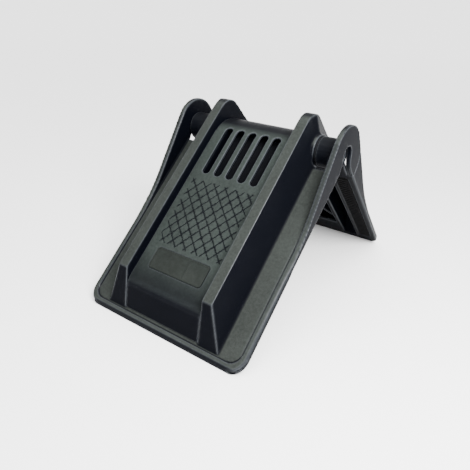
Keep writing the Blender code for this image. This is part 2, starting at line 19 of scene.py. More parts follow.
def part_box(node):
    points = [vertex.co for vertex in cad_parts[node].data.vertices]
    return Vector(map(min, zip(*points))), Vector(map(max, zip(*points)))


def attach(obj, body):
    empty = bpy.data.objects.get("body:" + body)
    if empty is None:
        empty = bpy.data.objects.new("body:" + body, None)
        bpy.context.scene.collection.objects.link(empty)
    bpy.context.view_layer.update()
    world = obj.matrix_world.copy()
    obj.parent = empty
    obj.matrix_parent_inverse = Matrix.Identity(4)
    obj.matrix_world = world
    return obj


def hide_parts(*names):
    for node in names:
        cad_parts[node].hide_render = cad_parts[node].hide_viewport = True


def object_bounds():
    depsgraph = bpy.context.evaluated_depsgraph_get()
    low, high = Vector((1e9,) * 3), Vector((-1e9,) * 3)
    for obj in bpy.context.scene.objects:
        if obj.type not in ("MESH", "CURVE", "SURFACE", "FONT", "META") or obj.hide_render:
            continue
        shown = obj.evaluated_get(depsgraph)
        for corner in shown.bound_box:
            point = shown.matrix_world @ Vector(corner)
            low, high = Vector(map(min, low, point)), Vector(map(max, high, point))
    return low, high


bl_info = {
    "name": "Strap ramp",
    "version": (1, 0, 0),
    "blender": (4, 5, 0),
    "location": "View3D > Sidebar > Strap ramp",
    "description": "Finishes the hinged strap ramp: shells, decks, pads, hinge and stage",
    "category": "Object",
}

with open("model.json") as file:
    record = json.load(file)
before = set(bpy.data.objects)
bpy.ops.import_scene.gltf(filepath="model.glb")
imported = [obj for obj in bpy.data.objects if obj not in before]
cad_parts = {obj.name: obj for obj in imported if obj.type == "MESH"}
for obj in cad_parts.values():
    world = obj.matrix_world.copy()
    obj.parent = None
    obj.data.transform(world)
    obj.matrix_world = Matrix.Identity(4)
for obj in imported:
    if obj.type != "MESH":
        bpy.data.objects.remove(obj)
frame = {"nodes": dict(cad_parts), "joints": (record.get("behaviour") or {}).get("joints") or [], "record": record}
CAD_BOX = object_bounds()
NODES = frame["nodes"]
MOUNTS = {mount["name"]: mount for mount in frame["record"]["mounts"]}
HINGE = Vector(frame["joints"][0]["pos_m"])
SIDES = {"front": -1, "rear": 1}
HANDS = {"left": -1, "right": 1}

# Sizes of the frame that no box gives
PAD_PROUD = 0.001
DECK_H = 0.0225
PLATE_T = 0.004
RIM_W = 0.0053
TOE_CORNER_R = 0.0165
# Top of the tray floor under the slots; below it the deck keeps the dark wall colour as painted shade in the
# recess
TRAY_TOP = 0.012
# Span down the deck's slope over which its lit top dims towards the toe: painted shade where the deck bends over
DECK_TOE_SHADE = (0.146, 0.176)
EAR_END, EAR_FADE = 0.105, 0.02
HALF_W = CAD_BOX[1].x
WELD = 1e-6
EDGE_BEND = 0.02
EDGE_GAIN = 4
# Faces that look up out of a leaf get the lighter top colour: a painted lit top over the mould's grain
LIT_TOP_FROM, LIT_TOP_FULL = 0.91, 0.99
# How much the lit top dims towards a toe: painted shade
TOE_SHADE_DEPTH = 0.75
SHELL_TRIANGLES = 170000
DECK_TRIANGLES = 120000

# Finer shapes of the visible pieces
RIBS_END = 0.066
GROOVE_PAST_RIM = 0.0006
GROOVE_HALF_W = 0.0011
PLATE_BAND = 0.0006
LABEL_CORNER_R, LABEL_EDGE_R = 0.003, 0.00025
LABEL_FRAME_W, LABEL_SUNK = 0.0012, 0.00035
LABEL_DIVIDER_AT, LABEL_DIVIDER_HALF = 0.36, 0.0005
PAD_CORNER_R, PAD_EDGE_R = 0.003, 0.0002
PAD_RIB_H, PAD_RIB_INSET = 0.0006, 0.0008
AXLE_GROOVE, AXLE_CHAMFER = 0.0004, 0.0008
BORE_PLAY, BUSH_PLAY = 0.0003, 0.0001
RING_CHAMFER = 0.0003
CLIP_MOUTH_W = 0.0022
PLIER_HOLE_R = 0.0006
PLIER_HOLE_SIDE, PLIER_HOLE_UP = 0.0031, 0.0051
SCREW_HEAD_ROUND = 0.0010
RECESS_SIZE = (0.0044, 0.0009, 0.0022)

# Finishes; the colour for outer edges is a painted highlight mixed with rubbed wear
RUB_HIGHLIGHT_COLOUR = (0.09, 0.10, 0.11)
DUST_COLOUR = (0.10, 0.10, 0.09)
PAD_DUST_COLOUR = (0.03, 0.03, 0.028)
COAT_ROUGHNESS = 0.24


# Where a leaf lies
def leaf_matrix(word):
    """From (u, s, n) on a leaf to the frame."""
    side = SIDES[word]
    normal = Vector(MOUNTS["strap_face_" + word]["axis"])
    underside = normal.dot(Vector(MOUNTS["load_face_" + word]["pos_m"])) + PAD_PROUD
    down = Vector((0, side * normal.z, -abs(normal.y)))
    across = Vector((side, 0, 0))
    matrix = Matrix((across, down, normal)).transposed().to_4x4()
    matrix.translation = (0, 0, underside / normal.z)
    return matrix


def box_on_leaf(node, word):
    """(lowest, highest) corner of a node's points in its leaf's own directions."""
    inverse = leaf_matrix(word).inverted()
    points = [inverse @ vertex.co for vertex in NODES[node].data.vertices]
    low = Vector([min(point[i] for point in points) for i in range(3)])
    high = Vector([max(point[i] for point in points) for i in range(3)])
    return low, high


# Meshes
def new_object(name, shape_or_mesh):
    mesh = shape_or_mesh
    if isinstance(mesh, bmesh.types.BMesh):
        mesh = bpy.data.meshes.new(name)
        shape_or_mesh.to_mesh(mesh)
        shape_or_mesh.free()
    mesh.name = name
    made = bpy.data.objects.new(name, mesh)
    bpy.context.scene.collection.objects.link(made)
    return made


def settle(obj):
    """Turns an object's modifiers into plain mesh."""
    bpy.context.view_layer.update()
    evaluated = obj.evaluated_get(bpy.context.evaluated_depsgraph_get())
    mesh = bpy.data.meshes.new_from_object(evaluated)
    obj.modifiers.clear()
    old = obj.data
    obj.data = mesh
    mesh.name = obj.name
    bpy.data.meshes.remove(old)
    return obj


def moved(obj, matrix):
    obj.data.transform(matrix)
    if matrix.is_negative:
        obj.data.flip_normals()
    return obj


def points_of(mesh):
    points = np.empty(len(mesh.vertices) * 3, np.float32)
    mesh.vertices.foreach_get("co", points)
    return points.reshape(-1, 3).astype(np.float64)


def set_points(mesh, points):
    mesh.vertices.foreach_set("co", points.astype(np.float32).ravel())
    mesh.update()


def normals_of(mesh):
    normals = np.empty(len(mesh.vertices) * 3, np.float32)
    mesh.vertex_normals.foreach_get("vector", normals)
    return normals.reshape(-1, 3).astype(np.float64)


def moulded_copy(node, name, word, voxel, smoothing):
    """A fine copy of a moulded node with soft edges, still in (u, s, n)."""
    shape = bmesh.new()
    shape.from_mesh(NODES[node].data)
    bmesh.ops.remove_doubles(shape, verts=shape.verts, dist=WELD)
    bmesh.ops.transform(shape, matrix=leaf_matrix(word).inverted(), verts=shape.verts)
    made = new_object(name, shape)
    remesh = made.modifiers.new("fine", "REMESH")
    remesh.mode = "VOXEL"
    remesh.voxel_size = voxel
    soften = made.modifiers.new("soften", "SMOOTH")
    soften.factor = 0.5
    soften.iterations = smoothing
    return settle(made)


def bend_of(mesh):
    """How sharply the surface bends at each point: above 0 on outer edges, below 0 in corners."""
    points, normals = points_of(mesh), normals_of(mesh)
    edges = np.empty(len(mesh.edges) * 2, np.int32)
    mesh.edges.foreach_get("vertices", edges)
    first, second = edges.reshape(-1, 2).T
    along = points[second] - points[first]
    along /= np.maximum(np.linalg.norm(along, axis=1), 1e-9)[:, None]
    bend = np.zeros(len(points))
    count = np.zeros(len(points))
    np.add.at(bend, first, -(normals[first] * along).sum(axis=1))
    np.add.at(bend, second, (normals[second] * along).sum(axis=1))
    np.add.at(count, first, 1)
    np.add.at(count, second, 1)
    return bend / np.maximum(count, 1), first, second


def thin_out(obj, triangles):
    """Takes triangles out of the flats, away from any edge, until about so many are left."""
    obj.data.calc_loop_triangles()
    count = len(obj.data.loop_triangles)
    if count <= triangles:
        return obj
    bend, first, second = bend_of(obj.data)
    near_edge = np.abs(bend) > EDGE_BEND
    for _ in range(3):
        grown = near_edge.copy()
        grown[first] |= near_edge[second]
        grown[second] |= near_edge[first]
        near_edge = grown
    flats = obj.vertex_groups.new(name="flats")
    flats.add(np.flatnonzero(~near_edge).tolist(), 1.0, "REPLACE")
    decimate = obj.modifiers.new("thin", "DECIMATE")
    decimate.vertex_group = flats.name
    decimate.vertex_group_factor = 1000
    decimate.ratio = triangles / count
    settle(obj)
    obj.vertex_groups.clear()
    return obj


def mark_surface(obj, lowest=0.0, toe=None):
    """Stores, for the materials, how much a point is an outer edge, and which points above
    the lowest n lie on a face that looks out of the leaf; these get the lighter top colour,
    a painted lit top over the mould's grain, while points below the lowest n keep the dark
    wall colour as painted shade. Towards a toe the lit top dims, painted shade where the
    deck bends over, and the grain fades with it."""
    mesh = obj.data
    bend, _, _ = bend_of(mesh)
    edge = np.clip(bend * EDGE_GAIN, 0, 1)
    facing = np.clip((normals_of(mesh)[:, 2] - LIT_TOP_FROM) / (LIT_TOP_FULL - LIT_TOP_FROM), 0, 1)
    points = points_of(mesh)
    # Painted shade: recessed faces below the lowest n, such as the tray floor under the slots, keep the dark wall
    # colour
    facing[points[:, 2] < lowest] = 0
    # Painted shade: the lit top dims towards the toe
    if toe:
        facing *= 1 - TOE_SHADE_DEPTH * np.clip((points[:, 1] - toe[0]) / (toe[1] - toe[0]), 0, 1)
    for label, values in (("edge", edge), ("facing", facing)):
        attribute = mesh.attributes.new(label, "FLOAT", "POINT")
        attribute.data.foreach_set("value", values.astype(np.float32))


def shade(obj, angle=40):
    obj.data.shade_smooth()
    obj.data.set_sharp_from_angle(angle=math.radians(angle))
    return obj


def turned(name, profile, segments=64):
    """A closed ring or rod about the hinge axis from its (radius, x) outline."""
    shape = bmesh.new()
    loops = []
    for i in range(segments):
        angle = math.tau * i / segments
        ring = [shape.verts.new((x, r * math.cos(angle), r * math.sin(angle))) for r, x in profile]
        loops.append(ring)
    for i in range(segments):
        here, there = loops[i], loops[(i + 1) % segments]
        for j in range(len(profile)):
            k = (j + 1) % len(profile)
            shape.faces.new((here[j], here[k], there[k], there[j]))
    bmesh.ops.remove_doubles(shape, verts=shape.verts, dist=WELD)
    bmesh.ops.dissolve_degenerate(shape, edges=shape.edges, dist=WELD)
    bmesh.ops.recalc_face_normals(shape, faces=shape.faces)
    bmesh.ops.translate(shape, verts=shape.verts, vec=HINGE)
    return new_object(name, shape)


def ring_profile(inner, outer, start, end, chamfer):
    """The outline of a ring with its outer corners chamfered."""
    low, high = min(start, end), max(start, end)
    return [(inner, low), (outer - chamfer, low), (outer, low + chamfer),
            (outer, high - chamfer), (outer - chamfer, high), (inner, high)]


def rounded_slab(name, low, high, corner_r, edge_r):
    """A plate with rounded corners and softened edges, in (u, s, n)."""
    shape = bmesh.new()
    size = high - low
    place = Matrix.Translation((low + high) / 2) @ Matrix.Diagonal((*size, 1))
    bmesh.ops.create_cube(shape, size=1, matrix=place)
    upright = [e for e in shape.edges if abs(e.verts[0].co.z - e.verts[1].co.z) > size.z / 2]
    bmesh.ops.bevel(shape, geom=upright, offset=corner_r, segments=6, profile=0.5, affect="EDGES")
    made = new_object(name, shape)
    bevel = made.modifiers.new("edges", "BEVEL")
    bevel.width = edge_r
    bevel.segments = 3
    bevel.limit_method = "ANGLE"
    bevel.angle_limit = math.radians(50)
    return settle(made)


# Shader groups
def shader_group(name, inputs, outputs):
    """A new shader group, with its input and output nodes."""
    tree = bpy.data.node_groups.new(name, "ShaderNodeTree")
    for label, kind, value in inputs:
        socket = tree.interface.new_socket(label, in_out="INPUT", socket_type=kind)
        socket.default_value = value
    for label, kind in outputs:
        tree.interface.new_socket(label, in_out="OUTPUT", socket_type=kind)
    return tree, tree.nodes.new("NodeGroupInput"), tree.nodes.new("NodeGroupOutput")


def add(tree, kind, settings=None, links=None):
    """A node with its settings, and its inputs linked or set."""
    node = tree.nodes.new(kind)
    for key, value in (settings or {}).items():
        setattr(node, key, value)
    for key, value in (links or {}).items():
        if isinstance(value, bpy.types.NodeSocket):
            tree.links.new(value, node.inputs[key])
        else:
            node.inputs[key].default_value = value
    return node


def maths(tree, operation, first, second=0.0, clamp=False):
    node = add(tree, "ShaderNodeMath", {"operation": operation, "use_clamp": clamp}, {0: first, 1: second})
    return node.outputs[0]


def noise_at(tree, position, scale, detail, roughness=0.5):
    links = {"Vector": position, "Scale": scale, "Detail": detail, "Roughness": roughness}
    return add(tree, "ShaderNodeTexNoise", None, links).outputs["Fac"]


def grain_group():
    """Spark-erosion grain of a mould: fine pits with slow clouds of lighter and darker."""
    inputs = (("Scale", "NodeSocketFloat", 1500.0), ("Clouds", "NodeSocketFloat", 22.0))
    outputs = (("Height", "NodeSocketFloat"), ("Shade", "NodeSocketFloat"))
    tree, given, result = shader_group("mould_grain", inputs, outputs)
    place = add(tree, "ShaderNodeTexCoord").outputs["Object"]
    pits = noise_at(tree, place, given.outputs["Scale"], 3.0, 0.7)
    coarse = noise_at(tree, place, maths(tree, "MULTIPLY", given.outputs["Scale"], 0.3), 2.0)
    clouds = noise_at(tree, place, given.outputs["Clouds"], 4.0, 0.6)
    height = maths(tree, "ADD", pits, maths(tree, "MULTIPLY", coarse, 0.6))
    speckle = maths(tree, "SUBTRACT", maths(tree, "ADD", pits, coarse), 1.0)
    shade_out = maths(tree, "ADD", clouds, speckle, clamp=True)
    tree.links.new(height, result.inputs["Height"])
    tree.links.new(shade_out, result.inputs["Shade"])
    return tree


def rub_highlight_group():
    """Painted highlight on the outer edges, a lighter colour standing in for the light they catch, mixed with
    rubbed wear that also smooths them; broken up by noise.
    """
    inputs = (("Amount", "NodeSocketFloat", 1.0), ("Scale", "NodeSocketFloat", 160.0))
    tree, given, result = shader_group("edge_rub", inputs, (("Rub", "NodeSocketFloat"),))
    place = add(tree, "ShaderNodeTexCoord").outputs["Object"]
    edge = add(tree, "ShaderNodeAttribute", {"attribute_name": "edge"}).outputs["Fac"]
    broken = noise_at(tree, place, given.outputs["Scale"], 3.0, 0.6)
    worn = maths(tree, "MULTIPLY", edge, maths(tree, "ADD", broken, 0.35))
    tree.links.new(maths(tree, "MULTIPLY", worn, given.outputs["Amount"], clamp=True), result.inputs["Rub"])
    return tree


def dust_group():
    """A thin film of dust on what looks up."""
    inputs = (("Amount", "NodeSocketFloat", 0.2), ("Scale", "NodeSocketFloat", 35.0))
    tree, given, result = shader_group("dust_film", inputs, (("Dust", "NodeSocketFloat"),))
    place = add(tree, "ShaderNodeTexCoord").outputs["Object"]
    normal = add(tree, "ShaderNodeNewGeometry").outputs["Normal"]
    upward = add(tree, "ShaderNodeSeparateXYZ", None, {"Vector": normal}).outputs["Z"]
    patches = noise_at(tree, place, given.outputs["Scale"], 5.0, 0.65)
    film = maths(tree, "MULTIPLY", maths(tree, "MAXIMUM", upward, 0.0), patches)
    tree.links.new(maths(tree, "MULTIPLY", film, given.outputs["Amount"], clamp=True), result.inputs["Dust"])
    return tree


def placed(tree, group, **values):
    node = tree.nodes.new("ShaderNodeGroup")
    node.node_tree = bpy.data.node_groups[group]
    for label, value in values.items():
        node.inputs[label].default_value = value
    return node


def mix_colour(tree, factor, first, second):
    node = add(tree, "ShaderNodeMix", {"data_type": "RGBA"})
    for socket, value in ((node.inputs[0], factor), (node.inputs[6], first), (node.inputs[7], second)):
        if isinstance(value, bpy.types.NodeSocket):
            tree.links.new(value, socket)
        else:
            socket.default_value = value if isinstance(value, float) else (*value[:3], 1)
    return node.outputs[2]


def mix_value(tree, factor, first, second):
    """first where the factor is 0, second where it is 1."""
    return maths(tree, "ADD", maths(tree, "MULTIPLY", factor, second - first), first)


def plain_material(name, colour, metallic=0.0, specular=0.5):
    mat = bpy.data.materials.new(name)
    mat.use_nodes = True
    shader = mat.node_tree.nodes["Principled BSDF"]
    shader.inputs["Base Color"].default_value = (*colour, 1)
    shader.inputs["Metallic"].default_value = metallic
    shader.inputs["Specular IOR Level"].default_value = specular
    return mat, mat.node_tree, shader


def moulded_material(name, smooth, lit_grained, *, specular, grain, rub_highlight_amount, gloss, dust, roughness):
    """Moulded plastic: dark smooth walls, lighter top faces with the mould's grain, lighter polished edges and a
    little dust. The lighter tops are a painted lit top over the grain, the very dark walls painted shade, and the
    lighter edges a painted highlight mixed with rubbed wear.
    """
    mat, tree, shader = plain_material(name, smooth, specular=specular)
    facing = add(tree, "ShaderNodeAttribute", {"attribute_name": "facing"}).outputs["Fac"]
    grain_node = placed(tree, "mould_grain", Scale=grain)
    rub_highlight = placed(tree, "edge_rub", Amount=rub_highlight_amount).outputs["Rub"]
    dust_out = placed(tree, "dust_film", Amount=dust).outputs["Dust"]
    darker = tuple(value * 0.62 for value in lit_grained)
    lighter = tuple(value * 1.35 for value in lit_grained)
    top = mix_colour(tree, grain_node.outputs["Shade"], darker, lighter)
    # Painted light: faces that look up get the lighter top colour over the grain, the walls keep the dark one as
    # painted shade
    colour = mix_colour(tree, facing, smooth, top)
    # Outer edges get a lighter colour: a painted highlight, mixed with rubbed wear
    colour = mix_colour(tree, rub_highlight, colour, RUB_HIGHLIGHT_COLOUR)
    colour = mix_colour(tree, dust_out, colour, DUST_COLOUR)
    tree.links.new(colour, shader.inputs["Base Color"])
    rough = mix_value(tree, facing, roughness[0], roughness[1])
    rough = maths(tree, "SUBTRACT", rough, maths(tree, "MULTIPLY", rub_highlight, 0.2), clamp=True)
    tree.links.new(rough, shader.inputs["Roughness"])
    if gloss:
        edge = add(tree, "ShaderNodeAttribute", {"attribute_name": "edge"}).outputs["Fac"]
        tree.links.new(maths(tree, "MULTIPLY", edge, gloss, clamp=True), shader.inputs["Coat Weight"])
        shader.inputs["Coat Roughness"].default_value = COAT_ROUGHNESS
    strength = mix_value(tree, facing, 0.12, 1.0)
    height = maths(tree, "MULTIPLY", grain_node.outputs["Height"], strength)
    bump = add(tree, "ShaderNodeBump", None, {"Height": height, "Strength": 0.35, "Distance": 0.0003})
    tree.links.new(bump.outputs["Normal"], shader.inputs["Normal"])
    return mat


def rubber_material(name, colour):
    mat, tree, shader = plain_material(name, colour, specular=0.02)
    grain_node = placed(tree, "mould_grain", Scale=900.0)
    dust_out = placed(tree, "dust_film", Amount=0.3).outputs["Dust"]
    lighter = tuple(value * 1.8 for value in colour)
    tone = mix_colour(tree, grain_node.outputs["Shade"], colour, lighter)
    tree.links.new(mix_colour(tree, dust_out, tone, PAD_DUST_COLOUR), shader.inputs["Base Color"])
    tree.links.new(mix_value(tree, grain_node.outputs["Shade"], 0.75, 0.95), shader.inputs["Roughness"])
    links = {"Height": grain_node.outputs["Height"], "Strength": 0.4, "Distance": 0.0002}
    bump = add(tree, "ShaderNodeBump", None, links)
    tree.links.new(bump.outputs["Normal"], shader.inputs["Normal"])
    return mat


def steel_material(name, colour):
    """Zinc-plated steel with fine turning marks about the hinge axis."""
    mat, tree, shader = plain_material(name, colour, metallic=1.0)
    place = add(tree, "ShaderNodeTexCoord").outputs["Object"]
    stretch = add(tree, "ShaderNodeMapping", None, {"Vector": place, "Scale": (9.0, 0.6, 0.6)})
    marks = noise_at(tree, stretch.outputs[0], 420.0, 3.0)
    patches = noise_at(tree, place, 60.0, 4.0)
    dull = tuple(value * 0.7 for value in colour)
    bright = tuple(value * 1.2 for value in colour)
    tone = mix_colour(tree, patches, dull, bright)
    tree.links.new(tone, shader.inputs["Base Color"])
    tree.links.new(mix_value(tree, marks, 0.22, 0.48), shader.inputs["Roughness"])
    bump = add(tree, "ShaderNodeBump", None, {"Height": marks, "Strength": 0.15, "Distance": 0.0001})
    tree.links.new(bump.outputs["Normal"], shader.inputs["Normal"])
    return mat


# Geometry Nodes
def geometry_tree(name, inputs):
    """A geometry tree with one geometry in and out, and its named inputs."""
    tree = bpy.data.node_groups.new(name, "GeometryNodeTree")
    tree.interface.new_socket("Geometry", in_out="INPUT", socket_type="NodeSocketGeometry")
    for label, kind, value in inputs:
        socket = tree.interface.new_socket(label, in_out="INPUT", socket_type=kind)
        if value is not None:
            socket.default_value = value
    tree.interface.new_socket("Geometry", in_out="OUTPUT", socket_type="NodeSocketGeometry")
    return tree, tree.nodes.new("NodeGroupInput"), tree.nodes.new("NodeGroupOutput")


def combine_xyz(tree, **axes):
    return add(tree, "ShaderNodeCombineXYZ", None, axes).outputs[0]


def tread_tree():
    """Two crossing families of V grooves, cut into the geometry inside a window."""
    inputs = (
        ("Lines", "NodeSocketInt", 17),
        ("Pitch A", "NodeSocketFloat", 0.0078), ("Angle A", "NodeSocketFloat", -0.6),
        ("Pitch B", "NodeSocketFloat", 0.0088), ("Angle B", "NodeSocketFloat", 0.8),
        ("Groove Width", "NodeSocketFloat", 0.001),
        ("Window Centre", "NodeSocketVector", (0, 0, 0)), ("Window Size", "NodeSocketVector", (0, 0, 0)),
        ("Material", "NodeSocketMaterial", None),
    )
    tree, given, result = geometry_tree("tread_grooves", inputs)
    side = maths(tree, "MULTIPLY", given.outputs["Groove Width"], 0.7071)
    bar_size = combine_xyz(tree, X=side, Y=0.4, Z=side)
    bar = add(tree, "GeometryNodeMeshCube", None, {"Size": bar_size}).outputs["Mesh"]
    turned_bar = add(tree, "GeometryNodeTransform", None, {"Geometry": bar, "Rotation": (0, math.pi / 4, 0)})
    span = maths(tree, "MULTIPLY", maths(tree, "SUBTRACT", given.outputs["Lines"], 1.0), -0.5)
    window = add(tree, "GeometryNodeMeshCube", None, {"Size": given.outputs["Window Size"]}).outputs["Mesh"]
    links = {"Geometry": window, "Translation": given.outputs["Window Centre"]}
    window = add(tree, "GeometryNodeTransform", None, links).outputs[0]
    cut = add(tree, "GeometryNodeMeshBoolean", {"operation": "DIFFERENCE", "solver": "MANIFOLD"})
    tree.links.new(given.outputs["Geometry"], cut.inputs["Mesh 1"])
    for family in ("A", "B"):
        pitch = given.outputs["Pitch " + family]
        start = combine_xyz(tree, X=maths(tree, "MULTIPLY", span, pitch))
        step = combine_xyz(tree, X=pitch)
        links = {"Count": given.outputs["Lines"], "Start Location": start, "Offset": step}
        line = add(tree, "GeometryNodeMeshLine", {"mode": "OFFSET"}, links).outputs["Mesh"]
        links = {"Points": line, "Instance": turned_bar.outputs[0]}
        bars = add(tree, "GeometryNodeInstanceOnPoints", None, links).outputs[0]
        bars = add(tree, "GeometryNodeRealizeInstances", None, {0: bars}).outputs[0]
        turn = combine_xyz(tree, Z=given.outputs["Angle " + family])
        links = {"Geometry": bars, "Translation": given.outputs["Window Centre"], "Rotation": turn}
        bars = add(tree, "GeometryNodeTransform", None, links).outputs[0]
        kept = add(tree, "GeometryNodeMeshBoolean", {"operation": "INTERSECT", "solver": "MANIFOLD"})
        tree.links.new(bars, kept.inputs["Mesh 2"])
        tree.links.new(window, kept.inputs["Mesh 2"])
        tree.links.new(kept.outputs["Mesh"], cut.inputs["Mesh 2"])
    whole = add(tree, "GeometryNodeRealizeInstances", None, {0: cut.outputs["Mesh"]}).outputs[0]
    links = {"Geometry": whole, "Material": given.outputs["Material"]}
    painted = add(tree, "GeometryNodeSetMaterial", None, links).outputs[0]
    tree.links.new(painted, result.inputs[0])
    return tree


def ribbed_tree():
    """A row of cross ribs joined to the geometry."""
    inputs = (
        ("Ribs", "NodeSocketInt", 20), ("Pitch", "NodeSocketFloat", 0.005),
        ("Rib Size", "NodeSocketVector", (0, 0, 0)), ("Start", "NodeSocketVector", (0, 0, 0)),
        ("Material", "NodeSocketMaterial", None),
    )
    tree, given, result = geometry_tree("cross_ribs", inputs)
    bar = add(tree, "GeometryNodeMeshCube", None, {"Size": given.outputs["Rib Size"]}).outputs["Mesh"]
    links = {
        "Count": given.outputs["Ribs"], "Start Location": given.outputs["Start"],
        "Offset": combine_xyz(tree, Y=given.outputs["Pitch"]),
    }
    line = add(tree, "GeometryNodeMeshLine", {"mode": "OFFSET"}, links).outputs["Mesh"]
    bars = add(tree, "GeometryNodeInstanceOnPoints", None, {"Points": line, "Instance": bar}).outputs[0]
    bars = add(tree, "GeometryNodeRealizeInstances", None, {0: bars}).outputs[0]
    joined = add(tree, "GeometryNodeMeshBoolean", {"operation": "UNION", "solver": "MANIFOLD"})
    tree.links.new(given.outputs["Geometry"], joined.inputs["Mesh 2"])
    tree.links.new(bars, joined.inputs["Mesh 2"])
    whole = add(tree, "GeometryNodeRealizeInstances", None, {0: joined.outputs["Mesh"]}).outputs[0]
    links = {"Geometry": whole, "Material": given.outputs["Material"]}
    painted = add(tree, "GeometryNodeSetMaterial", None, links).outputs[0]
    tree.links.new(painted, result.inputs[0])
    return tree


def apply_tree(obj, tree_name, **values):
    """Runs a geometry tree on an object and keeps the result as plain mesh."""
    tree = bpy.data.node_groups[tree_name]
    modifier = obj.modifiers.new(tree_name, "NODES")
    modifier.node_group = tree
    sockets = {item.name: item for item in tree.interface.items_tree if item.in_out == "INPUT"}
    for label, value in values.items():
        modifier[sockets[label.replace("_", " ")].identifier] = value
    return settle(obj)


# Settings
class StrapRampSizes(bpy.types.PropertyGroup):
    """Sizes of the visible detail."""

    shell_voxel: FloatProperty(name="Shell fineness", description="Mesh size of the shells",
                               default=0.0009, unit="LENGTH")
    deck_voxel: FloatProperty(name="Deck fineness", description="Mesh size of the decks",
                              default=0.0007, unit="LENGTH")
    rim_round: FloatProperty(name="Rim rounding", description="Rounding of the rim's outer edge",
                             default=0.0024, unit="LENGTH")
    rim_groove: FloatProperty(name="Rim groove", description="Depth of the groove inside the rim",
                              default=0.0008, unit="LENGTH")
    steep_pitch: FloatProperty(name="Steep pitch", description="Distance between the steeper tread grooves",
                               default=0.0078, unit="LENGTH")
    steep_angle: FloatProperty(name="Steep angle", description="Their slant from straight down the slope",
                               default=math.radians(34), subtype="ANGLE")
    cross_pitch: FloatProperty(name="Cross pitch", description="Distance between the crossing tread grooves",
                               default=0.0088, unit="LENGTH")
    cross_angle: FloatProperty(name="Cross angle", description="Their slant the other way",
                               default=math.radians(46), subtype="ANGLE")
    tread_width: FloatProperty(name="Groove width", description="Width of a tread groove",
                               default=0.00045, unit="LENGTH")
    tread_start: FloatProperty(name="Tread start", description="Where the tread starts down the slope",
                               default=0.069, unit="LENGTH")
    tread_end: FloatProperty(name="Tread end", description="Where the tread ends down the slope",
                             default=0.139, unit="LENGTH")
    tread_half: FloatProperty(name="Tread half-width", description="Half of the tread's width",
                              default=0.036, unit="LENGTH")
    pad_ribs: IntProperty(name="Pad ribs", description="Cross ribs under each grip pad", default=32)


class StrapRampColours(bpy.types.PropertyGroup):
    """Colours of the finishes; the shell and deck wall and top colours are shaded and lit copies of one plastic.
    """

    # Painted shade: the walls' colour is pushed darker than the plastic to stand in for shade
    shell_wall_shaded: FloatVectorProperty(name="Shell wall", description="Smooth walls of the shells",
                                    subtype="COLOR", default=(0.0013, 0.0016, 0.0028))
    # Painted lit top: lighter grey-green where the shells face up to the light, over the grain
    shell_top_lit: FloatVectorProperty(name="Shell top", description="Grained top faces of the shells",
                                   subtype="COLOR", default=(0.0175, 0.0200, 0.0185))
    # Painted lit top: lighter grey-green where the decks face up to the light, over the grain
    deck_top_lit: FloatVectorProperty(name="Deck top", description="Grained top face of the decks",
                                  subtype="COLOR", default=(0.0165, 0.0205, 0.0190))
    label: FloatVectorProperty(name="Label plate", description="Blank label plates",
                               subtype="COLOR", default=(0.0085, 0.0105, 0.0095))
    rubber: FloatVectorProperty(name="Grip pad", description="Rubber of the grip pads",
                                subtype="COLOR", default=(0.0030, 0.0030, 0.0032))
    nylon: FloatVectorProperty(name="Nylon", description="Washers and bushes",
                               subtype="COLOR", default=(0.0040, 0.0042, 0.0050))
    steel: FloatVectorProperty(name="Steel", description="Axle, clips and screws",
                               subtype="COLOR", default=(0.42, 0.43, 0.44))
    floor: FloatVectorProperty(name="Floor", description="Studio floor",
                               subtype="COLOR", default=(0.93, 0.93, 0.93))


def sizes():
    return bpy.context.scene.strap_ramp_sizes


def colours():
    return bpy.context.scene.strap_ramp_colours


def finish_piece(obj, mat, slot, body, *nodes):
    """Gives a piece its material, hides the frame nodes it stands for, and hangs it on the body it rides on."""
    obj.data.materials.clear()
    obj.data.materials.append(mat)
    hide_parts(*nodes)
    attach(obj, body)
    return obj


# Shells
def outline_distance(points, length):
    """How far inside the wing plate's outline each point lies, seen from above the leaf."""
    dx = HALF_W - np.abs(points[:, 0])
    dy = length - points[:, 1]
    inside = np.minimum(dx, dy)
    corner = (dx < TOE_CORNER_R) & (dy < TOE_CORNER_R)
    reach = np.hypot(TOE_CORNER_R - dx, TOE_CORNER_R - dy)
    return np.where(corner, TOE_CORNER_R - reach, inside)


def shape_rim(obj):
    """Rounds the rim's outer edge off and sinks a groove along its foot."""
    points = points_of(obj.data)
    length = points[:, 1].max()
    inside = outline_distance(points, length)
    fade = np.clip((points[:, 1] - EAR_END) / EAR_FADE, 0, 1)
    rounding = sizes().rim_round
    drop = rounding * (1 - np.sqrt(np.clip(1 - (1 - np.clip(inside / rounding, 0, 1)) ** 2, 0, 1)))
    on_top = points[:, 2] > PLATE_T * 0.5
    points[:, 2] -= np.where(on_top, drop * fade, 0)
    offset = np.abs(inside - RIM_W - GROOVE_PAST_RIM) / GROOVE_HALF_W
    on_plate = np.abs(points[:, 2] - PLATE_T) < PLATE_BAND
    past_ribs = np.abs(points[:, 0]) > RIBS_END
    groove = sizes().rim_groove * np.clip(1 - offset, 0, 1)
    points[:, 2] -= np.where(on_plate & past_ribs, groove, 0)
    set_points(obj.data, points)


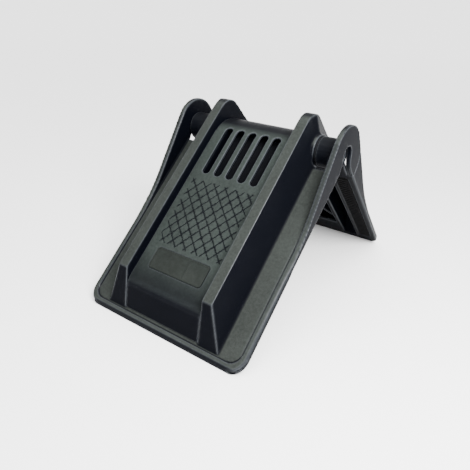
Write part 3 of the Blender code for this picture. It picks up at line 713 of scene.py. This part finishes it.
class STRAPRAMP_OT_shells(bpy.types.Operator):
    """Makes the two moulded shells"""

    bl_idname = "strapramp.shells"
    bl_label = "Shells"

    def execute(self, context):
        tint = colours()
        mat = moulded_material("shell_plastic", tuple(tint.shell_wall_shaded), tuple(tint.shell_top_lit), specular=0.01,
                               grain=1500.0, rub_highlight_amount=0.4, gloss=0.3, dust=0.05, roughness=(0.34, 0.62))
        for word in SIDES:
            shell = moulded_copy(word + "_leaf", word + "_shell", word, sizes().shell_voxel, 2)
            shape_rim(shell)
            thin_out(shell, SHELL_TRIANGLES)
            mark_surface(shell)
            moved(shell, leaf_matrix(word))
            shade(shell, 60)
            finish_piece(shell, mat, "shell_plastic", word, word + "_leaf")
        return {"FINISHED"}


class STRAPRAMP_OT_decks(bpy.types.Operator):
    """Makes the two slotted decks with their tread"""

    bl_idname = "strapramp.decks"
    bl_label = "Decks"

    def execute(self, context):
        tint, size = colours(), sizes()
        mat = moulded_material("deck_plastic", tuple(tint.shell_wall_shaded), tuple(tint.deck_top_lit), specular=0.01,
                               grain=1300.0, rub_highlight_amount=0.5, gloss=0.2, dust=0.05, roughness=(0.36, 0.60))
        tread_tree()
        centre = (0, (size.tread_start + size.tread_end) / 2, DECK_H)
        window = (size.tread_half * 2, size.tread_end - size.tread_start, 0.01)
        for word in SIDES:
            deck = moulded_copy(word + "_deck", word + "_strap_deck", word, size.deck_voxel, 2)
            thin_out(deck, DECK_TRIANGLES)
            # Painted shade: the tray floor under the slots keeps the dark wall colour, and the lit top dims
            # towards the toe
            mark_surface(deck, TRAY_TOP, DECK_TOE_SHADE)
            hand = -SIDES[word]
            apply_tree(deck, "tread_grooves", Pitch_A=size.steep_pitch, Angle_A=-size.steep_angle * hand,
                       Pitch_B=size.cross_pitch, Angle_B=size.cross_angle * hand, Material=mat,
                       Groove_Width=size.tread_width, Window_Centre=centre, Window_Size=window)
            moved(deck, leaf_matrix(word))
            shade(deck, 50)
            finish_piece(deck, mat, "deck_plastic", word, word + "_deck")
        return {"FINISHED"}


class STRAPRAMP_OT_label_plates(bpy.types.Operator):
    """Makes the blank label plates with a raised frame"""

    bl_idname = "strapramp.label_plates"
    bl_label = "Label plates"

    def execute(self, context):
        mat = moulded_material("label_plastic", tuple(colours().label), tuple(colours().label), specular=0.02,
                               grain=900.0, rub_highlight_amount=0.0, gloss=0.0, dust=0.1, roughness=(0.5, 0.55))
        for word in SIDES:
            node = word + "_label_plate"
            low, high = box_on_leaf(node, word)
            plate = rounded_slab(word + "_blank_label", low, high, LABEL_CORNER_R, LABEL_EDGE_R)
            divider = low.x + (high.x - low.x) * LABEL_DIVIDER_AT
            panels = ((low.x + LABEL_FRAME_W, divider - LABEL_DIVIDER_HALF),
                      (divider + LABEL_DIVIDER_HALF, high.x - LABEL_FRAME_W))
            for start, end in panels:
                pocket_low = Vector((start, low.y + LABEL_FRAME_W, high.z - LABEL_SUNK))
                pocket_high = Vector((end, high.y - LABEL_FRAME_W, high.z + 0.001))
                pocket = rounded_slab("label_pocket", pocket_low, pocket_high, 0.002, 0.0001)
                cut = plate.modifiers.new("pocket", "BOOLEAN")
                cut.object = pocket
                settle(plate)
                bpy.data.objects.remove(pocket)
            mark_surface(plate)
            moved(plate, leaf_matrix(word))
            shade(plate, 30)
            finish_piece(plate, mat, "label_plastic", word, node)
        return {"FINISHED"}


class STRAPRAMP_OT_grip_pads(bpy.types.Operator):
    """Makes the ribbed rubber pads under the wings"""

    bl_idname = "strapramp.grip_pads"
    bl_label = "Grip pads"

    def execute(self, context):
        mat = rubber_material("pad_rubber", tuple(colours().rubber))
        ribbed_tree()
        count = sizes().pad_ribs
        for word in SIDES:
            for hand in HANDS:
                node = f"{word}_grip_pad_{hand}"
                low, high = box_on_leaf(node, word)
                base_low = Vector((low.x, low.y, low.z + PAD_RIB_H))
                pad = rounded_slab(f"{word}_ribbed_pad_{hand}", base_low, high, PAD_CORNER_R, PAD_EDGE_R)
                pitch = (high.y - low.y - PAD_CORNER_R * 2) / (count - 1)
                rib = (high.x - low.x - PAD_RIB_INSET * 2, pitch * 0.5, PAD_RIB_H * 1.5)
                start = ((low.x + high.x) / 2, low.y + PAD_CORNER_R, low.z + PAD_RIB_H * 0.75)
                apply_tree(pad, "cross_ribs", Ribs=count, Pitch=pitch, Rib_Size=rib, Start=start,
                           Material=mat)
                moved(pad, leaf_matrix(word))
                shade(pad, 30)
                finish_piece(pad, mat, "pad_rubber", word, node)
        return {"FINISHED"}


class STRAPRAMP_OT_hinge(bpy.types.Operator):
    """Makes the axle, its clips, and the nylon washers and bushes"""

    bl_idname = "strapramp.hinge"
    bl_label = "Hinge"

    def execute(self, context):
        steel = steel_material("zinc_steel", tuple(colours().steel))
        nylon = rubber_material("dark_nylon", tuple(colours().nylon))
        low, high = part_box("hinge_axle")
        radius = (high.z - low.z) / 2
        groove_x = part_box("axle_clip_right")[0].x
        groove_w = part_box("axle_clip_right")[1].x - groove_x
        half = [(radius, groove_x), (radius - AXLE_GROOVE, groove_x),
                (radius - AXLE_GROOVE, groove_x + groove_w), (radius, groove_x + groove_w),
                (radius, high.x - AXLE_CHAMFER), (radius - AXLE_CHAMFER, high.x), (0, high.x)]
        profile = [(0, low.x)] + [(r, -x) for r, x in half[-2::-1]] + half
        axle = shade(turned("steel_axle", profile), 30)
        finish_piece(axle, steel, "steel", "front", "hinge_axle")
        for hand, way in HANDS.items():
            for node, name, bore, body, mat, slot in (
                ("axle_clip_" + hand, "retaining_clip_" + hand, radius + BORE_PLAY, "front", steel, "steel"),
                ("hinge_washer_" + hand, "nylon_washer_" + hand, radius + BORE_PLAY, "front", nylon, "nylon"),
                ("barrel_bush_" + hand, "nylon_bush_" + hand, radius + BUSH_PLAY, "rear", nylon, "nylon"),
            ):
                low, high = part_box(node)
                outer = (high.z - low.z) / 2
                ring = turned(name, ring_profile(bore, outer, low.x, high.x, RING_CHAMFER))
                if slot == "steel":
                    open_clip(ring, way)
                shade(ring, 30)
                finish_piece(ring, mat, slot, body, node)
        return {"FINISHED"}


def open_clip(ring, way):
    """Cuts the mouth of a retaining ring and the two plier holes beside it."""
    low = Vector([min(v.co[i] for v in ring.data.vertices) for i in range(3)])
    high = Vector([max(v.co[i] for v in ring.data.vertices) for i in range(3)])
    shape = bmesh.new()
    size = Vector((high.x - low.x + 0.002, CLIP_MOUTH_W, 0.006))
    place = Vector(((low.x + high.x) / 2, HINGE.y, high.z - 0.002))
    bmesh.ops.create_cube(shape, size=1, matrix=Matrix.Translation(place) @ Matrix.Diagonal((*size, 1)))
    cutters = [new_object("clip_mouth", shape)]
    for side in (-1, 1):
        shape = bmesh.new()
        spot = Vector((place.x, HINGE.y + side * PLIER_HOLE_SIDE, HINGE.z + PLIER_HOLE_UP))
        turn = Matrix.Translation(spot) @ Matrix.Rotation(math.pi / 2, 4, "Y")
        bmesh.ops.create_cone(shape, cap_ends=True, segments=20, radius1=PLIER_HOLE_R,
                              radius2=PLIER_HOLE_R, depth=0.004, matrix=turn)
        cutters.append(new_object("plier_hole", shape))
    for cutter in cutters:
        cut = ring.modifiers.new("cut", "BOOLEAN")
        cut.object = cutter
        settle(ring)
        bpy.data.objects.remove(cutter)


class STRAPRAMP_OT_screws(bpy.types.Operator):
    """Makes the cross-head screws that hold the decks from below"""

    bl_idname = "strapramp.screws"
    bl_label = "Screws"

    def execute(self, context):
        mat = bpy.data.materials["zinc_steel"]
        for word in SIDES:
            for level in ("upper", "lower"):
                node = f"{word}_deck_screw_{level}"
                low, high = box_on_leaf(node, word)
                screw = self.pan_head(f"{word}_screw_{level}", low, high)
                moved(screw, leaf_matrix(word))
                shade(screw, 30)
                finish_piece(screw, mat, "steel", word, node)
        return {"FINISHED"}

    def pan_head(self, name, low, high):
        """A pan head with a cross recess and a threaded shank, along n."""
        head_r, head_t, shank_r, pitch = (high.x - low.x) / 2, 0.0022, 0.0017, 0.0011
        outline = [(0, low.z)]
        for i in range(7):
            angle = math.pi / 2 * i / 6
            outline.append((head_r - SCREW_HEAD_ROUND * (1 - math.sin(angle)),
                            low.z + SCREW_HEAD_ROUND * (1 - math.cos(angle))))
        outline += [(head_r, low.z + head_t), (shank_r, low.z + head_t)]
        place = low.z + head_t + pitch / 2
        while place + pitch < high.z - 0.001:
            outline += [(shank_r - 0.0003, place), (shank_r, place + pitch / 2)]
            place += pitch
        outline += [(shank_r - 0.0003, high.z - 0.0009), (0, high.z)]
        screw = turned(name, outline, 40)
        upright = Matrix.Rotation(-math.pi / 2, 4, "Y") @ Matrix.Translation(-HINGE)
        moved(screw, Matrix.Translation(((low.x + high.x) / 2, (low.y + high.y) / 2, 0)) @ upright)
        for turn in (0, math.pi / 2):
            shape = bmesh.new()
            spot = Matrix.Translation(((low.x + high.x) / 2, (low.y + high.y) / 2, low.z))
            size = Matrix.Diagonal((*RECESS_SIZE, 1))
            bmesh.ops.create_cube(shape, size=1, matrix=spot @ Matrix.Rotation(turn, 4, "Z") @ size)
            cutter = new_object("recess", shape)
            cut = screw.modifiers.new("recess", "BOOLEAN")
            cut.object = cutter
            settle(screw)
            bpy.data.objects.remove(cutter)
        return screw


# Stage
CAMERA_PLACE = Vector((0.2364, -0.3961, 0.2599))
CAMERA_YAW = math.radians(33.75)
CAMERA_PITCH = math.radians(-25.58)
CAMERA_ROLL = math.radians(3.05)
CAMERA_LENS = 35.33
LAMP_AIM = Vector((0.03, -0.05, 0.07))
FLOOR_FLAT = 4.0
FLOOR_BEND = 2.5
SKY_FROM, SKY_SOFTNESS, SKY_STRENGTH = (0.05, -0.20, 1.0), 60, 3.0
KEY_PLACE, KEY_SIZE, KEY_POWER = (0.40, -0.26, 0.50), 0.3, 13.0
WORLD_STRENGTH = 1.9


class STRAPRAMP_OT_stage(bpy.types.Operator):
    """Sets the pale floor, the soft lights and the camera"""

    bl_idname = "strapramp.stage"
    bl_label = "Stage"

    def execute(self, context):
        self.floor()
        self.sun("sky_light", SKY_FROM, SKY_SOFTNESS, SKY_STRENGTH)
        self.lamp("key_light", KEY_PLACE, KEY_SIZE, KEY_POWER)
        world = bpy.data.worlds.new("studio")
        world.use_nodes = True
        world.node_tree.nodes["Background"].inputs["Color"].default_value = (1, 1, 1, 1)
        world.node_tree.nodes["Background"].inputs["Strength"].default_value = WORLD_STRENGTH
        context.scene.world = world
        self.camera(context)
        return {"FINISHED"}

    def floor(self):
        profile = [(0, 0), (FLOOR_FLAT, 0)]
        for i in range(1, 13):
            angle = math.pi / 2 * i / 12
            profile.append((FLOOR_FLAT + FLOOR_BEND * math.sin(angle), FLOOR_BEND * (1 - math.cos(angle))))
        shape = bmesh.new()
        points = [shape.verts.new((radius, 0, height)) for radius, height in profile]
        edges = [shape.edges.new(pair) for pair in zip(points, points[1:])]
        bmesh.ops.spin(shape, geom=points + edges, cent=(0, 0, 0), axis=(0, 0, 1), angle=math.tau, steps=72)
        bmesh.ops.remove_doubles(shape, verts=shape.verts, dist=WELD)
        bmesh.ops.recalc_face_normals(shape, faces=shape.faces)
        floor = new_object("floor", shape)
        shade(floor, 60)
        mat, tree, shader = plain_material("pale_floor", tuple(colours().floor), specular=0.0)
        shader.inputs["Roughness"].default_value = 1.0
        floor.data.materials.append(mat)

    def sun(self, name, direction, softness, strength):
        """A soft sun that shines from a direction."""
        lamp = bpy.data.lights.new(name, "SUN")
        lamp.angle = math.radians(softness)
        lamp.energy = strength
        made = bpy.data.objects.new(name, lamp)
        bpy.context.scene.collection.objects.link(made)
        made.rotation_mode = "QUATERNION"
        made.rotation_quaternion = (-Vector(direction)).to_track_quat("-Z", "Y")

    def lamp(self, name, place, size, power):
        """A round soft lamp that shines at the ramp."""
        lamp = bpy.data.lights.new(name, "AREA")
        lamp.shape = "DISK"
        lamp.size = size
        lamp.energy = power
        made = bpy.data.objects.new(name, lamp)
        bpy.context.scene.collection.objects.link(made)
        made.location = place
        made.rotation_mode = "QUATERNION"
        made.rotation_quaternion = (LAMP_AIM - made.location).to_track_quat("-Z", "Y")

    def camera(self, context):
        lens = bpy.data.cameras.new("camera")
        lens.lens = CAMERA_LENS
        lens.sensor_width = 36
        lens.clip_start, lens.clip_end = 0.01, 60
        made = bpy.data.objects.new("camera", lens)
        context.scene.collection.objects.link(made)
        flat = math.cos(CAMERA_PITCH)
        ahead = Vector((-math.sin(CAMERA_YAW) * flat, math.cos(CAMERA_YAW) * flat, math.sin(CAMERA_PITCH)))
        right = ahead.cross(Vector((0, 0, 1))).normalized()
        up = right.cross(ahead)
        turned_right = right * math.cos(CAMERA_ROLL) + up * math.sin(CAMERA_ROLL)
        turned_up = up * math.cos(CAMERA_ROLL) - right * math.sin(CAMERA_ROLL)
        made.matrix_world = Matrix.Translation(CAMERA_PLACE) @ Matrix(
            (turned_right, turned_up, -ahead)).transposed().to_4x4()
        context.scene.camera = made


PIECES = (STRAPRAMP_OT_shells, STRAPRAMP_OT_decks, STRAPRAMP_OT_label_plates, STRAPRAMP_OT_grip_pads,
          STRAPRAMP_OT_hinge, STRAPRAMP_OT_screws, STRAPRAMP_OT_stage)


class STRAPRAMP_PT_panel(bpy.types.Panel):
    """Lists the strap ramp's settings and steps"""

    bl_idname = "STRAPRAMP_PT_panel"
    bl_label = "Strap ramp"
    bl_space_type = "VIEW_3D"
    bl_region_type = "UI"
    bl_category = "Strap ramp"

    def draw(self, context):
        for settings in (context.scene.strap_ramp_sizes, context.scene.strap_ramp_colours):
            column = self.layout.column(align=True)
            for key in settings.__annotations__:
                column.prop(settings, key)
        for piece in PIECES:
            self.layout.operator(piece.bl_idname)


CLASSES = (StrapRampSizes, StrapRampColours, *PIECES, STRAPRAMP_PT_panel)


def register():
    for made in CLASSES:
        bpy.utils.register_class(made)
    bpy.types.Scene.strap_ramp_sizes = PointerProperty(type=StrapRampSizes)
    bpy.types.Scene.strap_ramp_colours = PointerProperty(type=StrapRampColours)


def unregister():
    del bpy.types.Scene.strap_ramp_colours
    del bpy.types.Scene.strap_ramp_sizes
    for made in reversed(CLASSES):
        bpy.utils.unregister_class(made)


def main():
    register()
    grain_group()
    rub_highlight_group()
    dust_group()
    bpy.ops.strapramp.shells()
    bpy.ops.strapramp.decks()
    bpy.ops.strapramp.label_plates()
    bpy.ops.strapramp.grip_pads()
    bpy.ops.strapramp.hinge()
    bpy.ops.strapramp.screws()
    bpy.ops.strapramp.stage()


if __name__ == "__main__":
    main()
